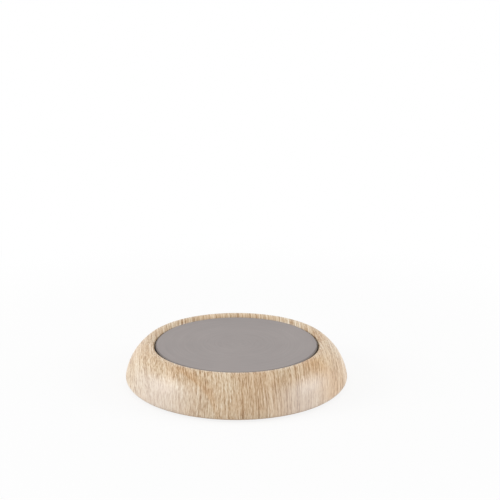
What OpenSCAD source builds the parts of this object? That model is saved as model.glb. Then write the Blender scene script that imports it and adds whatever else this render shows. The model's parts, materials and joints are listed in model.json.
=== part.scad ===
// Electric mug warmer: a low wood-look ring with a heated metal plate in its middle,
// a rocker switch and a low-voltage inlet in a bay at the back, and a closed base on four feet.
// Millimetres, +Z up, front is -Y. The origin is where the axis meets the table.

/* [Ring shell] */
// Widest diameter of the ring
ring_d = 100; // [99:0.5:106]
// Height of the ring from its rim to its crest
ring_h = 16.9; // [16.5:0.1:18]
// Radial width of the ring from its widest line to the opening that the plate lies in
ring_w = 13; // [12.4:0.1:13.6]
// Distance of the crest line outwards of that opening
crest_out = 3; // [2.6:0.1:3.4]
// Height of the widest line above the rim
edge_up = 1.9; // [1.7:0.1:2.2]
// Radius of the bead at the widest line
edge_round = 2.4; // [2.3:0.05:3]
// Radius of the roll over the crest
crest_round = 2.3; // [2.1:0.05:2.6]
// Radius of the dome between the bead and the crest
dome_round = 23; // [22:0.5:30]
// Wall of the dome
shell_wall = 2; // [1.6:0.1:2.2]
// Radial wall of the straight rim round the base cover
rim_wall = 3.2; // [2.8:0.1:3.6]
// Wall of the lip round the plate
lip_wall = 2; // [1.6:0.1:2.2]
// Thickness of the ledge that carries the plate
ledge_t = 2; // [1.6:0.1:2.2]
// Width of the ledge inwards of the opening
ledge_w = 3.2; // [2.6:0.1:3.6]

/* [Heating plate] */
// Thickness of the plate
plate_t = 1.6; // [1.4:0.1:2]
// Gap between the plate and the lip
plate_gap = 0.5; // [0.3:0.1:0.8]
// How far the plate lies below the crest
plate_drop = 0.9; // [0.6:0.1:1.2]
// Radius of the plate's upper edge
plate_edge = 0.6; // [0.3:0.1:0.8]
// Diameter of the bosses under the plate
plate_boss_d = 4.4; // [4:0.1:4.8]
// Plate left above the blind holes of the bosses
plate_skin = 0.8; // [0.6:0.1:1]
// Thickness of the seal under the plate
seal_t = 0.6; // [0.4:0.1:0.8]
// Radial width of the seal
seal_w = 2.3; // [1.6:0.1:2.4]

/* [Heater] */
// Thickness of the heater film
film_t = 0.25; // [0.2:0.05:0.3]
// Thickness of the etched track
track_t = 0.1; // [0.05:0.01:0.15]
// Width of the track
track_w = 1.4; // [1:0.1:1.8]
// Distance between two turns of the track
track_pitch = 3.5; // [3:0.1:3.6]
// Number of turns of the track
track_turns = 5; // [3:2:5]
// Film left outside the outermost turn
film_edge = 0.9; // [0.6:0.1:1.4]
// Length of the solder tabs on the track
tab_l = 2.6; // [2:0.1:3]
// Width of the solder tabs
tab_w = 2; // [1.4:0.1:2.2]
// Height of the solder tabs
tab_h = 1.7; // [1.4:0.1:1.8]

/* [Clamp plate] */
// How far the steel clamp plate reaches under the ledge
clamp_lap = 1.8; // [1.4:0.1:2.2]
// Thickness of the clamp plate
clamp_t = 0.8; // [0.6:0.1:1]
// Shank diameter of the clamp screws
clamp_screw_d = 2.5; // [2.2:0.1:2.8]
// Head diameter of the clamp screws
clamp_head_d = 4.8; // [4.4:0.1:5.2]
// Head height of the clamp screws
clamp_head_h = 1.5; // [1.2:0.1:1.6]
// How far the clamp screws reach into the plate's bosses
clamp_bite = 2.2; // [1.8:0.1:2.6]

/* [Thermostat] */
// Length of the thermostat case
case_l = 14; // [13.6:0.1:14.4]
// Width of the thermostat case
case_w = 6.6; // [6.4:0.1:6.8]
// Height of the thermostat case
case_h = 3.25; // [3.2:0.05:3.4]
// Sheet thickness of the thermostat case
case_wall = 0.35; // [0.25:0.05:0.4]
// Length of the thermostat's plug
plug_l = 3; // [2.6:0.1:3.2]
// Length of each solder lug outside the plug
case_lug_l = 2.5; // [2:0.1:3]
// Thickness of the contact strips
strip_t = 0.3; // [0.2:0.05:0.35]
// Width of the contact strips
strip_w = 1.8; // [1.4:0.1:2]
// Distance between the two contact strips
strip_pitch = 2.8; // [2.6:0.1:3]
// Thickness of the bimetal blade
blade_t = 0.25; // [0.2:0.05:0.3]
// Width of the bimetal blade
blade_w = 3.2; // [2.6:0.1:3.4]
// Thickness of the retaining clip
clip_t = 0.4; // [0.3:0.05:0.5]
// Width of the retaining clip
clip_w = 3; // [2.6:0.1:3.4]
// Shank diameter of the clip screws
clip_screw_d = 1; // [0.8:0.1:1.2]
// Head diameter of the clip screws
clip_head_d = 2.2; // [2:0.1:2.4]
// Head height of the clip screws
clip_head_h = 0.8; // [0.6:0.1:1]

/* [Thermal fuse] */
// Body diameter of the thermal fuse
fuse_d = 1.7; // [1.4:0.1:1.8]
// Body length of the thermal fuse
fuse_l = 7.5; // [7:0.1:8]
// Diameter of its leads
fuse_lead_d = 0.6; // [0.5:0.1:0.7]
// Length of each lead
fuse_lead_l = 3.5; // [3:0.1:4]
// Wall of the sleeve round the fuse
sleeve_wall = 0.2; // [0.1:0.05:0.2]

/* [Base cover] */
// Thickness of the base cover
base_t = 1.6; // [1.4:0.1:1.8]
// Gap between the base cover and the ring's rim
base_gap = 0.3; // [0.2:0.05:0.4]
// Height of the locating rib on the cover
rib_h = 1.8; // [1.4:0.1:2.4]
// Thickness of the ribs on the cover
rib_t = 1.2; // [1:0.1:1.4]
// Number of vent slots
vent_count = 8; // [6:1:10]
// Length of a vent slot
vent_l = 10; // [8:0.5:11]
// Width of a vent slot
vent_w = 2; // [1.6:0.1:2.4]
// Distance of a vent slot's middle from the axis
vent_r = 21; // [20:0.5:22]
// Length of the blank label field
label_l = 22; // [18:1:23]
// Width of the blank label field
label_w = 12; // [10:1:14]
// Depth of the blank label field
label_deep = 0.2; // [0.1:0.05:0.3]

/* [Feet and base screws] */
// Distance of the shell's bosses, the base screws and the feet outwards of the plate's opening
boss_out = 2.5; // [2.3:0.1:2.8]
// Diameter of a foot
foot_d = 9; // [8.4:0.1:9.4]
// Thickness of a foot
foot_t = 1.6; // [1.4:0.1:2]
// Depth of the recess that a foot is glued into
foot_recess = 0.6; // [0.4:0.1:0.8]
// Radius of a foot's lower edge
foot_edge = 0.4; // [0.2:0.05:0.5]
// Shank diameter of a base screw
base_screw_d = 2.5; // [2.3:0.1:2.7]
// Head diameter of a base screw
base_head_d = 5; // [4.6:0.1:5.4]
// Head height of a base screw
base_head_h = 1.6; // [1.4:0.1:1.8]
// Length of a base screw's shank
base_screw_l = 8; // [7:0.5:9]
// Plastic between a base screw's head and the boss
cup_floor = 1; // [0.8:0.1:1.2]
// Wall of the cup round a screw head
cup_wall = 1; // [0.8:0.1:1.1]
// Diameter of the bosses in the shell
shell_boss_d = 5.4; // [5.2:0.1:5.8]

/* [Rear bay] */
// Width of the bay
bay_w = 30; // [29:0.5:31]
// Gap above and below the switch's bezel in the bay
bay_lip = 0.4; // [0.3:0.05:0.5]
// Corner radius of the bay
bay_round = 2.5; // [1:0.25:3]
// Depth of the bay's back wall behind the ring's widest line
bay_deep = 7.6; // [7.2:0.1:7.8]
// Thickness of the bay's back wall
bay_wall_t = 1.4; // [1.2:0.1:1.6]
// Thickness of the bay's frame
bay_frame_t = 1.2; // [1:0.1:1.2]

/* [Switch] */
// Gap between the switch's bezel and the bay's left end
switch_edge = 1.2; // [1:0.1:1.4]
// Width of the switch body
switch_w = 11.4; // [11.4:0.1:11.8]
// Height of the switch body
switch_h = 6.4; // [6.4:0.1:6.6]
// Width of the bezel's flange
bezel_w = 0.7; // [0.6:0.05:0.8]
// Thickness of the bezel
bezel_t = 1; // [0.8:0.1:1.1]
// Side wall of the switch body
switch_wall = 0.65; // [0.6:0.05:0.7]
// End wall of the switch body
switch_end_wall = 0.4; // [0.3:0.05:0.4]
// Floor of the switch body
switch_floor = 0.9; // [0.8:0.1:1]
// Depth of the rocker's pivot behind the bay's back wall
pivot_deep = 0.4; // [0.4:0.05:0.5]
// Gap at the rocker's round ends
rocker_end_gap = 0.2; // [0.2:0.05:0.4]
// Height of the rocker's middle above its pivot
rocker_dip = 1.5; // [1.3:0.1:1.6]
// Height of the rocker's ends above its pivot
rocker_tip = 3.2; // [3:0.1:3.3]
// Depth of the rocker below its pivot
rocker_skirt = 1.3; // [1.1:0.1:1.4]
// Gap beside the rocker
rocker_gap = 0.15; // [0.1:0.05:0.2]
// Tilt of the rocker to each side
rocker_tilt = 13; // [10:1:13]
// Diameter of the rocker's stub pins
pin_d = 1.4; // [1.2:0.1:1.5]
// Length of a stub pin
pin_l = 0.5; // [0.4:0.05:0.5]
// Diameter of the rocker's plunger
plunger_d = 1.9; // [1.7:0.1:2]
// Diameter of the plunger's tip
plunger_tip_d = 1.2; // [1:0.1:1.3]
// Depth of the lever's pivot below the rocker's pivot
lever_deep = 5.1; // [5:0.05:5.3]
// Space in the switch body below the lever's pivot
under_lever = 1.1; // [1.1:0.05:1.4]
// Tilt of the contact lever to each side
lever_tilt = 6; // [5:0.5:6]
// Length of the contact lever
lever_l = 7.2; // [6.8:0.1:7.6]
// Width of the contact lever
lever_w = 2.8; // [2.4:0.1:3.2]
// Thickness of the contact lever
lever_t = 0.3; // [0.25:0.01:0.3]
// Distance of the contacts from the switch's middle
contact_x = 3; // [2.8:0.1:3.2]
// Diameter of the lever's contact
contact_d = 1.4; // [1.2:0.1:1.6]
// Thickness of the switch's solder lugs
lug_t = 0.5; // [0.4:0.05:0.5]
// Width of the solder lugs
lug_w = 2.4; // [2:0.1:2.6]
// Length of the solder lugs behind the switch and the inlet
lug_l = 3.3; // [2.8:0.1:3.5]

/* [Power inlet] */
// Distance of the inlet body from the bay's right end
jack_edge = 2.3; // [2:0.1:2.6]
// Width of the inlet body
jack_w = 8.4; // [8.2:0.1:8.6]
// Height of the inlet body
jack_h = 7; // [6.9:0.1:7.2]
// Depth of the inlet body
jack_deep = 11; // [10.5:0.5:11.5]
// Diameter of the collar that goes through the back wall
collar_d = 7.2; // [7:0.1:7.4]
// How far the collar stands out of the back wall
collar_out = 0.5; // [0.3:0.1:0.8]
// Diameter of the plug hole
plug_hole_d = 5.9; // [5.7:0.1:6]
// Depth of the plug hole
plug_hole_deep = 9.9; // [9.5:0.1:10.2]
// Diameter of the centre pin
centre_pin_d = 2; // [1.9:0.05:2.1]
// How far the pin's tip lies behind the collar's face
centre_pin_in = 1.4; // [1:0.1:2]
// Thickness of the inlet's spring contact
spring_contact_t = 0.3; // [0.2:0.05:0.35]
// Width of the inlet's spring contact
spring_contact_w = 2.4; // [2:0.1:2.6]

/* [Wires] */
// Diameter of the hook-up wires
wire_d = 1.3; // [1:0.1:1.4]

/* [Fits] */
// Radial clearance of a running fit
running_gap = 0.05; // [0.03:0.01:0.08]
// Clearance of pieces that are laid into each other
laid_gap = 0.2; // [0.15:0.01:0.25]
// Clearance inside the ledge and round the plate's bosses
stack_gap = 0.4; // [0.3:0.05:0.5]
// Clearance between the contact lever and its pivot
pivot_gap = 0.03; // [0.02:0.01:0.04]
// Clearance of contacts and soldered ends
touch_gap = 0.05; // [0.03:0.01:0.06]

/* [Hidden] */
$fn = 96;

// Overcut of a cutting solid past the face that it opens
cut = 1;
// Larger than anything here, for half-planes
far = 120;
// How far two solids of one piece reach into each other
sink = 0.1;

// Heights, from the table up
rim_z = foot_t - foot_recess;
base_top_z = rim_z + base_t;
crest_z = rim_z + ring_h;
plate_top_z = crest_z - plate_drop;
plate_low_z = plate_top_z - plate_t;
ledge_top_z = plate_low_z - seal_t;
ledge_low_z = ledge_top_z - ledge_t;
film_low_z = plate_low_z - film_t;
track_low_z = film_low_z - track_t;
clamp_low_z = ledge_low_z - clamp_t;
hollow_top_z = ledge_top_z - laid_gap;
cup_top_z = rim_z + foot_recess + laid_gap + base_head_h + cup_floor;

// Centres of the profile's rounds as [distance from the axis, height]
ring_r = ring_d / 2;
aperture_r = ring_r - ring_w;
edge_c = [ring_r - edge_round, rim_z + edge_up];
crest_c = [aperture_r + crest_out, crest_z - crest_round];
lip_c = [aperture_r + crest_round, crest_z - crest_round];
// The dome's round touches the bead's and the crest's from outside, so its centre lies
// where circles of the differences of the radii about those two centres meet.
to_edge = dome_round - edge_round;
to_crest = dome_round - crest_round;
span = crest_c - edge_c;
span_l = norm(span);
along = (to_edge * to_edge - to_crest * to_crest + span_l * span_l) / (2 * span_l);
aside = sqrt(to_edge * to_edge - along * along);
dome_c = edge_c + span / span_l * along + [-span[1], span[0]] / span_l * aside;

cavity_r = ring_r - rim_wall;
cover_r = cavity_r - base_gap;
ledge_r = aperture_r - ledge_w;
plate_r = aperture_r - plate_gap;
plate_boss_r = ledge_r - stack_gap - plate_boss_d / 2;
film_r = plate_boss_r - plate_boss_d / 2 - stack_gap;
clamp_r = ledge_r + clamp_lap;
foot_r = aperture_r + boss_out;
FOOT_ANGLES = [-45, 45, 135, 225];
PLATE_BOSS_ANGLES = [30, 150, 270];

// Thermostat, along Y, with its lugs towards the back
thermostat_x = -9;
thermostat_y = 4;
case_top_z = track_low_z - touch_gap;
case_low_z = case_top_z - case_h;
case_front_y = thermostat_y - case_l / 2;
case_back_y = thermostat_y + case_l / 2;
plug_y = case_back_y - plug_l;
lug_end_y = case_back_y + case_lug_l;
fixed_strip_z = case_low_z + case_wall + laid_gap;
fixed_strip_x = thermostat_x - strip_pitch / 2;
blade_strip_x = thermostat_x + strip_pitch / 2;
button_h = 0.4;
button_r = 0.8;
button_in = 4.2;
strip_foot_l = 2;
weld_l = 1.1;
button_y = case_front_y + button_in;
blade_z = fixed_strip_z + strip_t + button_h + touch_gap + button_h - sink;
blade_tip_y = button_y - button_r;
strip_inner_y = button_y - strip_foot_l / 2;
// Distance of the clip's screws from the thermostat's middle
clip_screw_x = case_w / 2 + laid_gap + clip_t + clip_head_d / 2 + laid_gap;

// Thermal fuse, along Y, in a pocket of the insulation pad
fuse_x = 9;
fuse_y = 2.8;
fuse_z = ledge_low_z + touch_gap + fuse_d / 2 + sleeve_wall;
sleeve_r = fuse_d / 2 + sleeve_wall;

// Ends of the heater's track, as angles about the axis, and its solder tabs as
// [distance from the axis, angle], each just inside the end of its turn
track_start = -60;
track_end = 285;
track_r = film_r - film_edge - track_w / 2;
track_inner_r = track_r - (track_turns - 1) * track_pitch;
TABS = [[track_r, track_start + asin(tab_w / 2 / track_r)],
    [track_inner_r, track_end - asin(tab_w / 2 / track_inner_r)]];
tab_low_z = track_low_z - tab_h;
// Length of the slot that the inner tab's wire runs down through
tab_slot_l = 14.5;

// Length behind the thermostat's lugs in which its wires drop below the clamp plate
wire_drop = 5.9;
drop_y = lug_end_y + wire_drop;

// The bay is as high as the bezel in it, and its frame lies just over the base cover
flange_w = switch_w + 2 * bezel_w + 2 * laid_gap;
flange_h = switch_h + 2 * bezel_w;
bay_h = flange_h + 2 * bay_lip;
bay_z = base_top_z + laid_gap + bay_frame_t + bay_h / 2;
bay_y = ring_r - bay_deep;
switch_x = bay_w / 2 - switch_edge - flange_w / 2;
jack_x = bay_w / 2 - jack_edge - jack_w / 2;

// Switch frame: x across, y out of the back wall, from the rocker's pivot
switch_at = [-switch_x, bay_y - pivot_deep, bay_z];
switch_back = -lever_deep - under_lever - switch_floor;
opening_w = switch_w - 2 * switch_end_wall;
opening_h = switch_h - 2 * switch_wall;
rocker_r = opening_w / 2 - rocker_end_gap;
rocker_h = opening_h - 2 * rocker_gap;
plunger_bore_r = plunger_d / 2 + running_gap;
plunger_top = -1.3;
bore_top = 0.6;
post_low = -2.8;
post_wall = 0.6;
post_h = 2;
barb_l = 2;
spring_wire_d = 0.25;
spring_d = 1.3;
spring_turns = 3.5;
lever_rise = lug_t / 2 + pivot_gap;
lever_contact_t = 0.3;
plunger_reach = lever_deep - lever_rise - lever_t - touch_gap;
fixed_contact_y = -lever_deep + lever_rise - lever_contact_t
    - sin(lever_tilt) * (contact_x + contact_d / 2) - touch_gap;
load_pad_t = 0.35;
load_pad_l = 2;
lug_end = switch_back - lug_l;

jack_front_y = bay_y - bay_wall_t;
jack_back_y = jack_front_y - jack_deep;
collar_face_y = bay_y + collar_out;
jack_lug_y = jack_back_y - lug_l;
spring_contact_x = jack_x + plug_hole_d / 2;
// How far the spring contact stands into the plug hole, and stops behind the body's front
contact_press = 0.1;
contact_back = 2;
pin_lug_w = 1.8;
// The cradle's cheeks stop this far behind the body's front and below its middle
cradle_back = 3;
cradle_drop = 1.5;

// ---- shared shapes ----

module half_plane_below(z) {
    translate([-far, z - 2 * far]) square([2 * far, 2 * far]);
}

module box(low, high) {
    translate(low) cube(high - low);
}

module rounded_rect(w, h, r) {
    square([w - 2 * r, h], center = true);
    square([w, h - 2 * r], center = true);
    for (x = [-1, 1], y = [-1, 1])
        translate([x * (w / 2 - r), y * (h / 2 - r)]) circle(r);
}

module at_angles(angles, r) {
    for (a = angles) rotate([0, 0, a]) translate([r, 0, 0]) children();
}

// Cross-slotted pan screw, head down, with the underside of its head at the origin
module screw(shank_d, shank_l, head_d, head_h) {
    slot_w = head_d / 6;
    slot_l = head_d * 0.6;
    difference() {
        union() {
            translate([0, 0, -head_h]) cylinder(d1 = head_d * 0.8, d2 = head_d, h = head_h / 2);
            translate([0, 0, -head_h / 2]) cylinder(d = head_d, h = head_h / 2);
            cylinder(d = shank_d, h = shank_l);
        }
        for (turn = [0, 90]) rotate([0, 0, turn])
            translate([-slot_l / 2, -slot_w / 2, -head_h - cut]) cube([slot_l, slot_w, cut + head_h / 2]);
    }
}

// Catmull-Rom curve through the route's points, with a step count for each leg
function route_point(p, i) =
    i < 0 ? 2 * p[0] - p[1] : i >= len(p) ? 2 * p[len(p) - 1] - p[len(p) - 2] : p[i];
function curve_point(p, i, t) =
    let (a = route_point(p, i - 1), b = p[i], c = p[i + 1], d = route_point(p, i + 2))
    0.5 * (2 * b + (c - a) * t + (2 * a - 5 * b + 4 * c - d) * t * t
        + (3 * b - a - 3 * c + d) * t * t * t);
function curve(p, steps) = concat(
    [for (i = [0:len(p) - 2], j = [0:steps - 1]) curve_point(p, i, j / steps)],
    [p[len(p) - 1]]);
function unit(v) = v / norm(v);
function tangents(q, first, last) = [for (i = [0:len(q) - 1])
    i == 0 ? unit(first) : i == len(q) - 1 ? unit(last) : unit(q[i + 1] - q[i - 1])];
function square_to(v, t) = unit(v - (v * t) * t);
function ring_normals(t, start) =
    [for (i = 0, n = square_to(start, t[0]); i < len(t);
        i = i + 1, n = i < len(t) ? square_to(n, t[i]) : n) n];

// Round wire swept along the route, with its first ring's normal near start. Its ends are
// square to the route's first and last legs.
module wire(route, d, start = [0, 0, 1], steps = 3) {
    sides = 8;
    q = curve(route, steps);
    rings = len(q);
    t = tangents(q, route[1] - route[0], route[len(route) - 1] - route[len(route) - 2]);
    n = ring_normals(t, start);
    points = [for (i = [0:rings - 1], k = [0:sides - 1])
        q[i] + d / 2 * (cos(k * 360 / sides) * n[i] + sin(k * 360 / sides) * cross(t[i], n[i]))];
    wall = [for (i = [0:rings - 2], k = [0:sides - 1])
        [i * sides + k, (i + 1) * sides + k, (i + 1) * sides + (k + 1) % sides,
            i * sides + (k + 1) % sides]];
    first_end = [[for (k = [0:sides - 1]) k]];
    last_end = [[for (k = [sides - 1:-1:0]) (rings - 1) * sides + k]];
    polyhedron(points = points, faces = concat(wall, first_end, last_end), convexity = 6);
}

// ---- ring ----

// Inside of the dome's outline, moved inwards by shrink, down to the rim
module dome_region(shrink) {
    reach = 2 * dome_round;
    toward_edge = unit(edge_c - dome_c) * reach;
    toward_crest = unit(crest_c - dome_c) * reach;
    difference() {
        union() {
            intersection() {
                translate(dome_c) circle(dome_round - shrink);
                polygon([dome_c, dome_c + toward_edge, dome_c + toward_edge + toward_crest,
                    dome_c + toward_crest]);
            }
            translate(edge_c) circle(edge_round - shrink);
            translate(crest_c) circle(crest_round - shrink);
            polygon([[0, rim_z - cut], [edge_c[0], rim_z - cut], edge_c, crest_c,
                [0, crest_c[1]]]);
            square([crest_c[0], crest_z - shrink]);
        }
        half_plane_below(rim_z);
        translate([-far, -far]) square([far, 2 * far]);
    }
}

module ring_profile() {
    difference() {
        dome_region(0);
        // hollow under the dome, outside the lip's wall and below the solid crest
        difference() {
            intersection() {
                dome_region(shell_wall);
                square([cavity_r, hollow_top_z]);
            }
            translate([0, ledge_low_z]) square([aperture_r + lip_wall, far]);
        }
        // the rim opens downwards for the base cover
        square([cavity_r, rim_z + base_t]);
        // opening for the plate, and the roll of the lip
        translate([0, ledge_top_z]) square([aperture_r, far]);
        square([ledge_r, far]);
        difference() {
            translate([0, lip_c[1]]) square([lip_c[0], far]);
            translate(lip_c) circle(crest_round);
        }
    }
}

module bay_solid(grow, y_low) {
    translate([0, y_low, bay_z]) rotate([-90, 0, 0])
        linear_extrude(ring_r + cut - y_low)
            rounded_rect(bay_w + 2 * grow, bay_h + 2 * grow, bay_round + grow);
}

module ring_shell() {
    color("burlywood") difference() {
        union() {
            rotate_extrude() ring_profile();
            intersection() {
                rotate_extrude() dome_region(0);
                union() {
                    bay_solid(bay_frame_t, jack_front_y);
                    at_angles(FOOT_ANGLES, foot_r) translate([0, 0, cup_top_z])
                        cylinder(d = shell_boss_d, h = hollow_top_z + sink - cup_top_z);
                }
            }
        }
        bay_solid(0, bay_y);
        translate([-switch_x, jack_front_y - cut, bay_z]) rotate([-90, 0, 0])
            translate([0, 0, bay_wall_t / 2 + cut])
                cube([switch_w + 2 * laid_gap, switch_h + 2 * laid_gap, bay_wall_t + 2 * cut],
                    center = true);
        translate([jack_x, jack_front_y - cut, bay_z]) rotate([-90, 0, 0])
            cylinder(d = collar_d + 2 * laid_gap, h = bay_wall_t + 2 * cut);
        at_angles(FOOT_ANGLES, foot_r) translate([0, 0, cup_top_z - cut])
            cylinder(d = base_screw_d + 2 * running_gap, h = cut + base_screw_l);
    }
}

// ---- heating stack ----

module heating_plate() {
    color("silver") difference() {
        union() {
            rotate_extrude() {
                translate([0, plate_low_z]) square([plate_r, plate_t - plate_edge]);
                translate([0, plate_low_z]) square([plate_r - plate_edge, plate_t]);
                translate([plate_r - plate_edge, plate_top_z - plate_edge]) circle(plate_edge);
            }
            at_angles(PLATE_BOSS_ANGLES, plate_boss_r) translate([0, 0, ledge_low_z])
                cylinder(d = plate_boss_d, h = plate_low_z - ledge_low_z + plate_t / 2);
        }
        at_angles(PLATE_BOSS_ANGLES, plate_boss_r) translate([0, 0, ledge_low_z - cut])
            cylinder(d = clamp_screw_d + 2 * running_gap,
                h = plate_top_z - plate_skin - ledge_low_z + cut);
    }
}

module plate_seal() {
    seal_r = plate_r + laid_gap;
    color("dimgray") translate([0, 0, ledge_top_z]) difference() {
        cylinder(r = seal_r, h = seal_t);
        translate([0, 0, -cut]) cylinder(r = seal_r - seal_w, h = seal_t + 2 * cut);
    }
}

module heater_film() {
    color("orange") translate([0, 0, film_low_z]) cylinder(r = film_r, h = film_t);
}

// Triangle from the axis between two angles, past the track's outermost turn
module track_wedge(a, b) {
    reach = 2 * track_r;
    polygon([[0, 0], reach * [cos(a), sin(a)], reach * [cos(b), sin(b)]]);
}

// The track is one flat ring, cut open between its two ends and then into turns, where each
// cut stops short of the link to the next turn, by turns at one end and at the other.
module track_outline() {
    difference() {
        circle(track_r + track_w / 2);
        circle(track_inner_r - track_w / 2);
        track_wedge(track_end, track_start + 360);
        for (i = [0:track_turns - 2]) {
            outer = track_r - i * track_pitch - track_w / 2;
            link = 2 * asin(track_w / 2 / outer);
            difference() {
                circle(outer);
                circle(outer + track_w - track_pitch);
                if (i % 2 == 0) track_wedge(track_end - link, track_end + link);
                else track_wedge(track_start - link, track_start + link);
            }
        }
    }
}

module heater_track() {
    color("peru") {
        translate([0, 0, track_low_z]) linear_extrude(track_t) track_outline();
        tab_blocks(0, tab_low_z, tab_h + track_t / 2);
    }
}

// The solder tabs in plan, grown on every side, from height z upwards
module tab_blocks(grow, z, h) {
    for (tab = TABS) rotate([0, 0, tab[1]]) translate([tab[0] - tab_l / 2 - grow, -tab_w / 2 - grow, z])
        cube([tab_l + 2 * grow, tab_w + 2 * grow, h]);
}

// Middle of a tab's inner face, moved inwards by back, at the height of its wire
function tab_face(tab, back) = [(tab[0] - tab_l / 2 - back) * cos(tab[1]),
    (tab[0] - tab_l / 2 - back) * sin(tab[1]), tab_low_z + wire_d / 2];

// Windows for the thermostat, the fuse and the wires, as [low corner, high corner] in plan
THERMOSTAT_WINDOW = [[thermostat_x - case_w / 2 - laid_gap, case_front_y - laid_gap],
    [thermostat_x + case_w / 2 + laid_gap, drop_y]];
FUSE_SLOT = [[fuse_x - wire_d, fuse_y + fuse_l / 2 + 2], [fuse_x + wire_d, drop_y]];
inner_tab_wire = tab_face(TABS[1], 0);
TAB_SLOT = [[inner_tab_wire[0] - wire_d, inner_tab_wire[1] - laid_gap],
    [inner_tab_wire[0] + 2 * wire_d, inner_tab_wire[1] + tab_slot_l]];

module window(corners, z, h) {
    translate([corners[0][0], corners[0][1], z])
        cube([corners[1][0] - corners[0][0], corners[1][1] - corners[0][1], h]);
}

module insulation_pad() {
    h = track_low_z - ledge_low_z;
    color("ivory") difference() {
        translate([0, 0, ledge_low_z]) cylinder(r = ledge_r - stack_gap, h = h);
        at_angles(PLATE_BOSS_ANGLES, plate_boss_r) translate([0, 0, ledge_low_z - cut])
            cylinder(d = plate_boss_d + 2 * stack_gap, h = h + 2 * cut);
        for (w = [THERMOSTAT_WINDOW, FUSE_SLOT, TAB_SLOT])
            window(w, ledge_low_z - cut, h + 2 * cut);
        tab_blocks(laid_gap, ledge_low_z - cut, h + 2 * cut);
        // the fuse's pocket, and a trench for its lead wire to the outer tab
        trench(fuse_rear_end, lead_route[1], h);
        for (i = [1:len(lead_route) - 2]) trench(lead_route[i], lead_route[i + 1], h);
    }
}

// Straight cut through the pad between two points in plan, wide enough for the fuse's sleeve
module trench(a, b, h) {
    w = 2 * (sleeve_r + laid_gap);
    run = b - a;
    translate([a[0], a[1], ledge_low_z - cut]) rotate([0, 0, atan2(run[1], run[0])])
        translate([-w / 3, -w / 2, 0]) cube([norm([run[0], run[1]]) + w / 3, w, h + 2 * cut]);
}

module clamp_plate() {
    color("gainsboro") difference() {
        translate([0, 0, clamp_low_z]) cylinder(r = clamp_r, h = clamp_t);
        at_angles(PLATE_BOSS_ANGLES, plate_boss_r) translate([0, 0, clamp_low_z - cut])
            cylinder(d = clamp_screw_d + 2 * laid_gap, h = clamp_t + 2 * cut);
        for (w = [THERMOSTAT_WINDOW, FUSE_SLOT, TAB_SLOT])
            window(w, clamp_low_z - cut, clamp_t + 2 * cut);
        for (side = [-1, 1]) translate([thermostat_x + side * clip_screw_x, thermostat_y,
                clamp_low_z - cut])
            cylinder(d = clip_screw_d + 2 * running_gap, h = clamp_t + 2 * cut);
    }
}

module clamp_screws() {
    color("lightsteelblue") at_angles(PLATE_BOSS_ANGLES, plate_boss_r)
        translate([0, 0, clamp_low_z])
            screw(clamp_screw_d, clamp_t + clamp_bite, clamp_head_d, clamp_head_h);
}

// ---- thermostat and fuse ----

module thermostat_case() {
    color("lightgray") difference() {
        box([thermostat_x - case_w / 2, case_front_y, case_low_z],
            [thermostat_x + case_w / 2, case_back_y, case_top_z]);
        box([thermostat_x - case_w / 2 + case_wall, case_front_y + case_wall,
                case_low_z + case_wall],
            [thermostat_x + case_w / 2 - case_wall, case_back_y + cut, case_top_z - case_wall]);
    }
}

// A strip that passes through the plug, grown on every side for the slot it needs
module contact_strip(x, z, y_low, grow) {
    box([x - strip_w / 2 - grow, y_low, z - grow],
        [x + strip_w / 2 + grow, lug_end_y, z + strip_t + grow]);
}

module thermostat_plug() {
    color("saddlebrown") difference() {
        box([thermostat_x - case_w / 2 + case_wall, plug_y, case_low_z + case_wall],
            [thermostat_x + case_w / 2 - case_wall, case_back_y, case_top_z - case_wall]);
        contact_strip(fixed_strip_x, fixed_strip_z, plug_y - cut, touch_gap);
        contact_strip(blade_strip_x, blade_z - touch_gap - strip_t, plug_y - cut, touch_gap);
    }
}

module thermostat_fixed_contact() {
    color("goldenrod") {
        contact_strip(fixed_strip_x, fixed_strip_z, strip_inner_y, 0);
        box([fixed_strip_x - strip_w / 2, strip_inner_y, fixed_strip_z],
            [thermostat_x + button_r, strip_inner_y + strip_foot_l, fixed_strip_z + strip_t]);
        translate([thermostat_x, button_y, fixed_strip_z])
            cylinder(r = button_r, h = strip_t + button_h);
    }
}

module thermostat_blade_terminal() {
    color("gold")
        contact_strip(blade_strip_x, blade_z - touch_gap - strip_t, plug_y - weld_l, 0);
}

module bimetal_blade() {
    color("slategray") {
        box([thermostat_x - blade_w / 2, blade_tip_y, blade_z],
            [thermostat_x + blade_w / 2, plug_y - laid_gap, blade_z + blade_t]);
        translate([thermostat_x, button_y, blade_z - button_h + sink])
            cylinder(r = button_r - sink, h = button_h);
    }
}

module thermostat_clip() {
    leg_x = case_w / 2 + laid_gap;
    ear_x = clip_screw_x + clip_head_d / 2;
    color("lightblue") difference() {
        union() {
            box([thermostat_x - leg_x - clip_t, thermostat_y - clip_w / 2, case_low_z - clip_t],
                [thermostat_x + leg_x + clip_t, thermostat_y + clip_w / 2, case_low_z]);
            for (side = [0, 1]) translate([thermostat_x, thermostat_y, 0]) mirror([side, 0, 0]) {
                box([leg_x, -clip_w / 2, case_low_z - clip_t],
                    [leg_x + clip_t, clip_w / 2, clamp_low_z]);
                box([leg_x, -clip_w / 2, clamp_low_z - clip_t], [ear_x, clip_w / 2, clamp_low_z]);
            }
        }
        for (side = [-1, 1]) translate([thermostat_x + side * clip_screw_x, thermostat_y,
                clamp_low_z - clip_t - cut])
            cylinder(d = clip_screw_d + 2 * running_gap, h = clip_t + 2 * cut);
    }
}

module clip_screws() {
    color("lightsteelblue") for (side = [-1, 1])
        translate([thermostat_x + side * clip_screw_x, thermostat_y, clamp_low_z - clip_t])
            screw(clip_screw_d, clip_t + clamp_t, clip_head_d, clip_head_h);
}

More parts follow.
